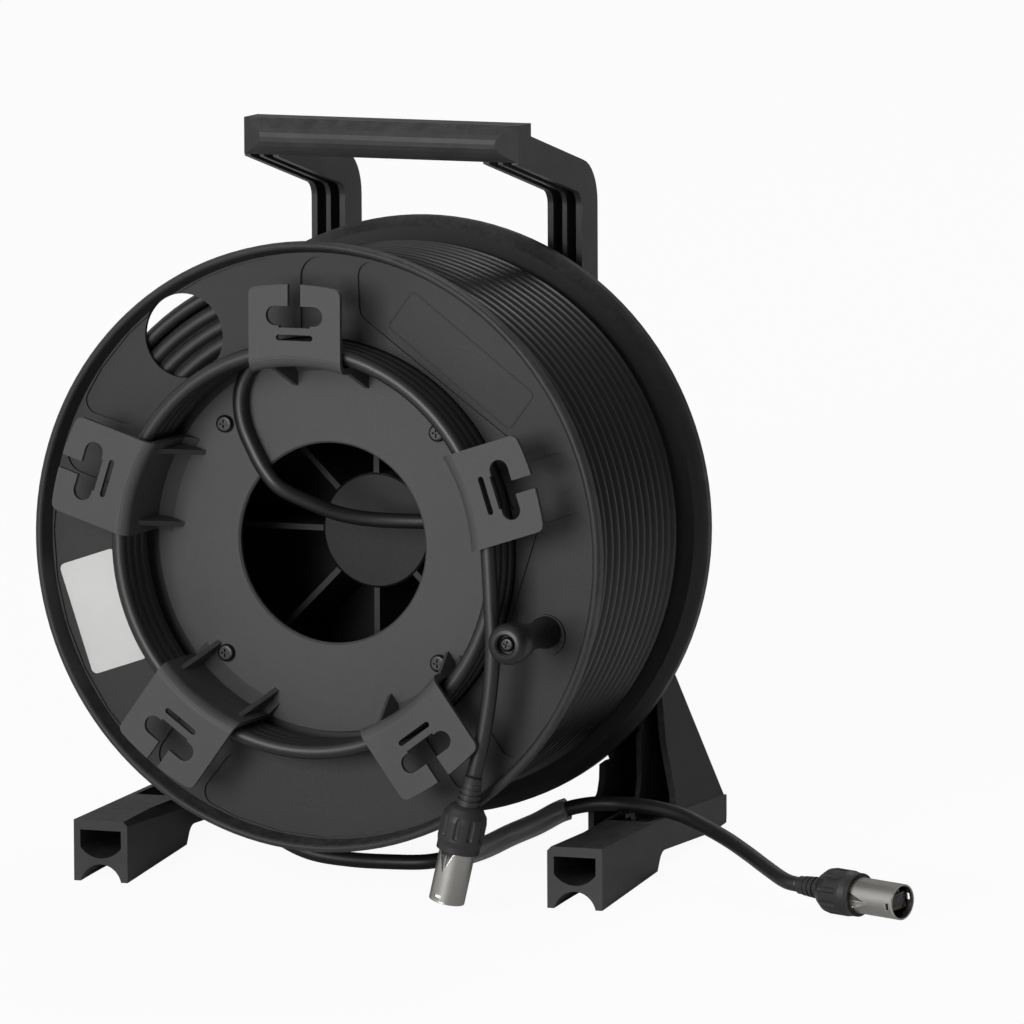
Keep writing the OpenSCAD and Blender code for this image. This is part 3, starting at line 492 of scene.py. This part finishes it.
def plug_place(end, way):
    """The frame of a connector: its start, with its length along +X."""
    aside = Matrix.Rotation(math.atan2(way.y, way.x), 4, "Z")
    upward = Matrix.Rotation(-math.asin(way.z), 4, "Y")
    return Matrix.Translation(Vector(end) / 1000) @ aside @ upward


SHELL_FROM, SHELL_LONG, SHELL_R, SHELL_WALL = 0.039, 0.027, 0.0091, 0.0008
SHELL_MIDDLE = (SHELL_FROM + SHELL_LONG / 2, 0, 0)
SHELL_SIDES, SHELL_RINGS, SHELL_EDGE = 96, 30, 0.00015
BED_TIP, BED_LONG, BED_DEPTH, BED_SLIM = 0.0115, 0.015, 0.0004, 0.6
WINDOW_IN, WINDOW_SIZE = 0.003, (0.0018, 0.0036, 0.03)
PAYOUT_TURN, TAIL_TURN = math.radians(95), math.radians(-85)


def round_along_x(radius, length, ends):
    """A plain cylinder around the connector's own axis."""
    bpy.ops.object.select_all(action="DESELECT")
    bpy.ops.mesh.primitive_cylinder_add(
        vertices=SHELL_SIDES, radius=radius, depth=length, end_fill_type=ends,
        location=SHELL_MIDDLE, rotation=(0, math.pi / 2, 0))
    bpy.ops.object.transform_apply(location=True, rotation=True, scale=True)
    return bpy.context.active_object


def cut_away(piece, tool):
    """Takes the tool's shape out of the piece and removes the tool."""
    bpy.context.view_layer.objects.active = piece
    opening = piece.modifiers.new("opening", "BOOLEAN")
    opening.object = tool
    opening.operation = "DIFFERENCE"
    opening.solver = "EXACT"
    bpy.ops.object.modifier_apply(modifier="opening")
    bpy.data.objects.remove(tool)


def plug_shell(name, place, turn):
    """The round shell, with a pointed key bed behind and two small windows near the mouth."""
    shell = round_along_x(SHELL_R, SHELL_LONG, "NOTHING")
    shell.name = name
    bpy.ops.object.mode_set(mode="EDIT")
    for ring in range(1, SHELL_RINGS):
        bpy.ops.mesh.select_all(action="SELECT")
        along = SHELL_FROM + SHELL_LONG * ring / SHELL_RINGS
        bpy.ops.mesh.bisect(plane_co=(along, 0, 0), plane_no=(1, 0, 0))
    bpy.ops.object.mode_set(mode="OBJECT")
    wall = shell.modifiers.new("wall", "SOLIDIFY")
    wall.thickness = SHELL_WALL
    wall.offset = -1
    bpy.ops.object.modifier_apply(modifier="wall")
    bpy.ops.object.select_all(action="DESELECT")
    point = BED_LONG / 1.5
    bpy.ops.mesh.primitive_cylinder_add(vertices=3, radius=point, depth=0.01,
                                        location=(SHELL_FROM + BED_TIP - point, 0, 0.007),
                                        rotation=(0, 0, -math.pi / 2))
    bed = bpy.context.active_object
    bpy.ops.object.transform_apply(location=False, rotation=True, scale=True)
    bed.scale = (1, BED_SLIM, 1)
    bpy.ops.object.transform_apply(location=True, rotation=True, scale=True)
    cut_away(bed, round_along_x(SHELL_R - BED_DEPTH, 0.06, "NGON"))
    cut_away(shell, bed)
    bpy.ops.object.select_all(action="DESELECT")
    bpy.ops.mesh.primitive_cube_add(size=1, location=(SHELL_FROM + SHELL_LONG - WINDOW_IN, 0, 0),
                                    scale=WINDOW_SIZE)
    window = bpy.context.active_object
    bpy.ops.object.transform_apply(location=True, rotation=True, scale=True)
    cut_away(shell, window)
    edges = shell.modifiers.new("edges", "BEVEL")
    edges.width = SHELL_EDGE
    edges.segments = 2
    edges.limit_method = "ANGLE"
    edges.angle_limit = math.radians(40)
    bpy.ops.object.modifier_apply(modifier="edges")
    bpy.ops.object.select_all(action="DESELECT")
    shell.select_set(True)
    bpy.ops.object.shade_smooth_by_angle(angle=math.radians(30))
    even = shell.modifiers.new("even", "WEIGHTED_NORMAL")
    even.keep_sharp = True
    even.weight = 100
    bpy.ops.object.modifier_apply(modifier="even")
    shell.matrix_world = place @ Matrix.Rotation(turn, 4, "X")
    bpy.ops.object.transform_apply(location=True, rotation=True, scale=True)
    return shell


gold = finish_of(
    "contact_gold", (0.78, 0.55, 0.22), (0.6, 0.5, 0.35), 0.28, scale=3000, depth=0.00001,
    scratch=0.3, dust=0, metal=1)
drum_place = Matrix.Translation(AXIS) @ Matrix.Rotation(-LEAN, 4, "X")
payout_place = plug_place(lead_route[-1], plug_way)
payout_blades = plug_blades("payout_blades", payout_place)
tail_place = drum_place @ plug_place(drop_route[-1], TAIL_WAY.normalized())
tail_blades = plug_blades("tail_blades", tail_place)
payout_shell = plug_shell("payout_plug_shell", payout_place, PAYOUT_TURN)
tail_shell = plug_shell("tail_plug_shell", tail_place, TAIL_TURN)
for shell, body, node in (
    (payout_shell, "stand", "payout_shell"), (tail_shell, "drum", "tail_shell"),
):
    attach(shell, body)
    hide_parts(node)
for blades, body in ((payout_blades, "stand"), (tail_blades, "drum")):
    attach(blades, body)
    dress(blades, gold)

boot_rubber = finish_of(
    "boot_rubber", (0.016, 0.016, 0.016), (0.05, 0.05, 0.05), 0.52, scale=2200, depth=0.00003,
    scratch=0.2, dust=0.2, specular=0.35)
bushing_black = finish_of(
    "bushing_black", (0.018, 0.018, 0.018), (0.06, 0.06, 0.06), 0.44, scale=2400, depth=0.00002,
    scratch=0.4, dust=0.15, specular=0.3)
nickel = finish_of(
    "satin_nickel", (0.34, 0.333, 0.318), (0.62, 0.6, 0.56), 0.36, scale=4200, depth=0.00001,
    coarse=0.2, scratch=0.45, dust=0.05, spread=0.08, metal=1)
clear_plug = clear_plastic("plug_plastic", (0.72, 0.78, 0.74), 0.14, 300)
for end in ("payout", "tail"):
    dress_node(end + "_boot", boot_rubber)
    dress_node(end + "_bushing", bushing_black)
    dress_node(end + "_insert", clear_plug)
for shell in (payout_shell, tail_shell):
    dress(shell, nickel)


# Stand: feet, legs, posts and grip in one black moulding of glass-filled plastic, with open
# channels and ribs at the front. The grip is polished by hands, and the feet are scuffed.
def handled_or_scuffed(tree, place):
    """Rubbed at the grip and at the soles of the feet."""
    height = add(tree, "SeparateXYZ", {0: place}).outputs["Z"]
    grip = add(tree, "MapRange", {"Value": height, "From Min": 0.345, "From Max": 0.368}).outputs[0]
    sole = add(tree, "MapRange", {"Value": height, "From Min": 0.012, "From Max": 0.001}).outputs[0]
    both = add(tree, "Math", {0: grip, 1: sole}, operation="MAXIMUM").outputs[0]
    patches = use(tree, cloud_tone, {"Vector": place, "Scale": 70, "Low": 0, "High": 0.32})
    return add(tree, "Math", {0: both, 1: patches}, operation="MULTIPLY").outputs[0]


stand_black = finish_of(
    "stand_black", (0.026, 0.026, 0.0263), (0.06, 0.06, 0.06), 0.44, scale=1500, depth=0.00005,
    scratch=0.3, dust=0.3, worn=handled_or_scuffed, specular=0.22)
dress_node("frame", stand_black)


# Axle and what holds it: a turned steel stub with a lock nut and washer behind the hub plate,
# washers each side of the drum, and a spring-steel ring in a groove.
zinc = finish_of("zinc_plate", (0.5, 0.5, 0.51), (0.35, 0.33, 0.3), 0.34, scale=2400, depth=0.00002,
                 scratch=0.5, dust=0.1, metal=1, turned=(1, 12, 1))
black_steel = finish_of(
    "black_steel", (0.035, 0.035, 0.037), (0.2, 0.2, 0.2), 0.4, scale=3000, depth=0.00001,
    scratch=0.3, dust=0.05, metal=1)
for name in ("axle", "axle_washer", "axle_nut", "thrust_washer", "front_washer", "knob_sleeve"):
    dress_node(name, zinc)
dress_node("retaining_ring", black_steel)


# Drum: two black half shells with flanges, moulded in tough plastic and clamped by four screws.
# Their rims roll over floors and get rubbed paler.
def rubbed_rim(tree, place):
    """Paler where the flange's rim touches the ground and the walls."""
    own = add(tree, "Mapping", {"Vector": place, "Location": tuple(-AXIS)}).outputs[0]
    level = add(tree, "Mapping", {"Vector": own, "Rotation": (LEAN, 0, 0)}).outputs[0]
    parts = add(tree, "SeparateXYZ", {0: level}).outputs
    flat = add(tree, "CombineXYZ", {"X": parts["X"], "Y": 0.0, "Z": parts["Z"]}).outputs[0]
    out = add(tree, "VectorMath", {0: flat}, operation="LENGTH").outputs["Value"]
    rim = add(tree, "MapRange", {"Value": out, "From Min": 0.1525, "From Max": 0.155}).outputs[0]
    patches = use(tree, cloud_tone, {"Vector": place, "Scale": 60, "Low": 0.05, "High": 0.5})
    return add(tree, "Math", {0: rim, 1: patches}, operation="MULTIPLY").outputs[0]


drum_black = finish_of(
    "drum_black", (0.021, 0.021, 0.0213), (0.07, 0.07, 0.07), 0.5, scale=1300, depth=0.00005,
    scratch=0.3, dust=0.22, worn=rubbed_rim, specular=0.2)
for name in ("front_flange", "back_flange"):
    dress_node(name, drum_black)
# Hub cap: the drum's black plastic made about half as bright, as painted shade for the deep barrel
# that it sits in.
cap_black_painted_shade = finish_of(
    "cap_black_painted_shade", (0.009, 0.009, 0.0092), (0.04, 0.04, 0.04), 0.48, scale=1300, depth=0.00005,
    scratch=0.2, dust=0.2, specular=0.2)
dress_node("hub_cap", cap_black_painted_shade)
acetal = finish_of(
    "acetal", (0.55, 0.53, 0.48), (0.3, 0.28, 0.25), 0.35, scale=2000, depth=0.00001, scratch=0.3,
    dust=0.1)
for name in ("hub_bush_front", "hub_bush_back"):
    dress_node(name, acetal)
dress_node("drum_screws", black_steel)


# Label on the lower left panel: silver polyester film with round corners, stuck on and left bare.
# One corner has begun to lift.
LABEL_SIZE, LABEL_CORNER, LABEL_THICK = (0.0585, 0.0322), 0.003, 0.00012
LABEL_AT, LABEL_TURN = (-121.4, 10.1, -38.7), 108.5
LABEL_GRID, LABEL_LIFT, LIFT_FROM, LABEL_RIPPLE = (12, 7), 0.0022, 0.82, 0.00002
bpy.ops.object.select_all(action="DESELECT")
bpy.ops.mesh.primitive_plane_add(size=1, location=(0, 0, 0))
label = bpy.context.active_object
label.name = "bare_label"
label.scale = (*LABEL_SIZE, 1)
bpy.ops.object.transform_apply(location=True, rotation=True, scale=True)
bpy.ops.object.mode_set(mode="EDIT")
bpy.ops.mesh.select_all(action="SELECT")
bpy.ops.mesh.bevel(offset=LABEL_CORNER, segments=6, affect="VERTICES")
for across in range(1, LABEL_GRID[0]):
    bpy.ops.mesh.select_all(action="SELECT")
    bpy.ops.mesh.bisect(plane_co=(LABEL_SIZE[0] * (across / LABEL_GRID[0] - 0.5), 0, 0),
                        plane_no=(1, 0, 0))
for along in range(1, LABEL_GRID[1]):
    bpy.ops.mesh.select_all(action="SELECT")
    bpy.ops.mesh.bisect(plane_co=(0, LABEL_SIZE[1] * (along / LABEL_GRID[1] - 0.5), 0),
                        plane_no=(0, 1, 0))
bpy.ops.object.mode_set(mode="OBJECT")
for v in label.data.vertices:
    lift = max(0, v.co.x / LABEL_SIZE[0] + v.co.y / LABEL_SIZE[1] - LIFT_FROM)
    ripple = math.sin(v.co.x * 260) * math.sin(v.co.y * 190)
    v.co.z += LABEL_LIFT * lift ** 1.5 + LABEL_RIPPLE * ripple
film = label.modifiers.new("film", "SOLIDIFY")
film.thickness = LABEL_THICK
film.offset = 1
bpy.ops.object.modifier_apply(modifier="film")
for face in label.data.polygons:
    face.use_smooth = False


def on_drum(x, y, z, angle):
    """A place on the drum's front, with +Z toward the viewer and +X along the given angle."""
    upright = Matrix.Rotation(math.radians(90), 4, "X")
    turned = Matrix.Rotation(math.radians(angle), 4, "Z")
    return drum_place @ Matrix.Translation(Vector((x, y, z)) / 1000) @ upright @ turned


label.matrix_world = on_drum(*LABEL_AT, LABEL_TURN)
bpy.ops.object.transform_apply(location=True, rotation=True, scale=True)
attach(label, "drum")
label_film = finish_of(
    "label_film", (0.46, 0.46, 0.452), (0.4, 0.39, 0.37), 0.42, scale=2600, depth=0.000008,
    coarse=0.15, scratch=0.22, dust=0.1, spread=0.05, specular=0.5)
dress(label, label_film)


# Bare badge frame on the upper right panel: a thin step with round corners, moulded with the
# front shell.
BADGE_SIZE, BADGE_CORNER = (0.0835, 0.0238), 0.003
BADGE_LINE, BADGE_STEP, BADGE_SOFT = 0.0008, 0.0004, 0.00018
BADGE_AT, BADGE_TURN = (76.5, 10.25, 97.1), -37
bpy.ops.object.select_all(action="DESELECT")
bpy.ops.mesh.primitive_plane_add(size=1, location=(0, 0, 0))
badge = bpy.context.active_object
badge.name = "badge_frame"
badge.scale = (*BADGE_SIZE, 1)
bpy.ops.object.transform_apply(location=True, rotation=True, scale=True)
bpy.ops.object.mode_set(mode="EDIT")
bpy.ops.mesh.select_all(action="SELECT")
bpy.ops.mesh.bevel(offset=BADGE_CORNER, segments=8, affect="VERTICES")
bpy.ops.mesh.select_all(action="SELECT")
bpy.ops.mesh.inset(thickness=BADGE_LINE, depth=0)
bpy.ops.mesh.delete(type="FACE")
bpy.ops.object.mode_set(mode="OBJECT")
step = badge.modifiers.new("step", "SOLIDIFY")
step.thickness = BADGE_STEP
step.offset = 1
bpy.ops.object.modifier_apply(modifier="step")
soft = badge.modifiers.new("soft", "BEVEL")
soft.width = BADGE_SOFT
soft.segments = 2
soft.limit_method = "ANGLE"
bpy.ops.object.modifier_apply(modifier="soft")
badge.matrix_world = on_drum(*BADGE_AT, BADGE_TURN)
bpy.ops.object.transform_apply(location=True, rotation=True, scale=True)
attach(badge, "drum")
dress(badge, drum_black)


# Cover disc with its five hooked clips, one moulding in a slightly lighter grade of the same
# plastic. The cable rubs the clips' necks.
holder_black = finish_of(
    "holder_black", (0.048, 0.048, 0.0485), (0.09, 0.09, 0.09), 0.5, scale=1300, depth=0.00005,
    scratch=0.4, dust=0.2, specular=0.2)
dress_node("tail_holder", holder_black)


# Crank knob: a turned-looking grip of black plastic that spins on a spacer tube, held by a
# cross-head screw. Hands keep it smooth.
knob_black = finish_of(
    "knob_black", (0.006, 0.006, 0.0062), (0.045, 0.045, 0.045), 0.42, scale=1800, depth=0.00002,
    scratch=0.45, dust=0.1, specular=0.35)
dress_node("knob_grip", knob_black)
dress_node("knob_screw", black_steel)


# Floor and studio: a white floor, one broad soft lamp in front and one behind, and a dim room.
# Gloss and clear plastic see the room paler at the front left. The camera sees the floor and
# the room near white, with a trace of shadow.
FLOOR_SIZE, FLOOR_SHARE = 14, 0.94
bpy.ops.object.select_all(action="DESELECT")
bpy.ops.mesh.primitive_plane_add(size=FLOOR_SIZE, location=(0, 0, 0))
floor = bpy.context.active_object
floor.name = "floor"
white = bpy.data.materials.new("floor_white")
white.use_nodes = True
tree = white.node_tree
paint = tree.nodes["Principled BSDF"]
paint.inputs["Base Color"].default_value = (0.86, 0.86, 0.86, 1)
paint.inputs["Roughness"].default_value = 0.9
paint.inputs["Specular IOR Level"].default_value = 0.1
glow = add(tree, "Emission", {"Color": (1, 1, 1, 1), "Strength": 1})
seen = add(tree, "LightPath").outputs["Is Camera Ray"]
share = add(tree, "Math", {0: seen, 1: FLOOR_SHARE}, operation="MULTIPLY").outputs[0]
mixed = add(tree, "MixShader", {0: share, 1: paint.outputs[0], 2: glow.outputs[0]})
tree.links.new(mixed.outputs[0], tree.nodes["Material Output"].inputs["Surface"])
dress(floor, white)

world = bpy.data.worlds.new("studio")
scene.world = world
world.use_nodes = True
tree = world.node_tree
room = tree.nodes["Background"]
ROOM_LEVEL, ROOM_DARK, ROOM_PALE = 0.22, 0.12, 0.95
PALE_SIDE = (-0.8, -0.57, 0.18)
path = add(tree, "LightPath").outputs
way = add(tree, "TexCoord").outputs["Generated"]
side = add(tree, "VectorMath", {0: way, 1: PALE_SIDE}, operation="DOT_PRODUCT").outputs["Value"]
fall = add(
    tree, "MapRange",
    {"Value": side, "From Min": -0.35, "From Max": 0.9, "To Min": ROOM_DARK, "To Max": ROOM_PALE})
shiny = add(
    tree, "Math", {0: path["Is Glossy Ray"], 1: path["Is Transmission Ray"]}, operation="MAXIMUM")
level = add(tree, "Mix", {0: shiny.outputs[0], 2: ROOM_LEVEL, 3: fall.outputs[0]}).outputs[0]
power = add(tree, "Mix", {0: path["Is Camera Ray"], 2: level, 3: 1.0}).outputs[0]
room.inputs["Color"].default_value = (1, 1, 1, 1)
tree.links.new(power, room.inputs["Strength"])


LAMP_AIM = Vector((0, 0, 0.18))


def lamp(name, where, size, power):
    """A square soft lamp that points at the middle of the reel."""
    data = bpy.data.lights.new(name, "AREA")
    data.size = size
    data.energy = power
    obj = bpy.data.objects.new(name, data)
    scene.collection.objects.link(obj)
    obj.location = where
    obj.rotation_euler = (LAMP_AIM - Vector(where)).to_track_quat("-Z", "Y").to_euler()


lamp("front_soft", (-0.25, -2.0, 0.8), 1.0, 38)
lamp("back_soft", (0.3, 2.0, 2.3), 1.0, 24)
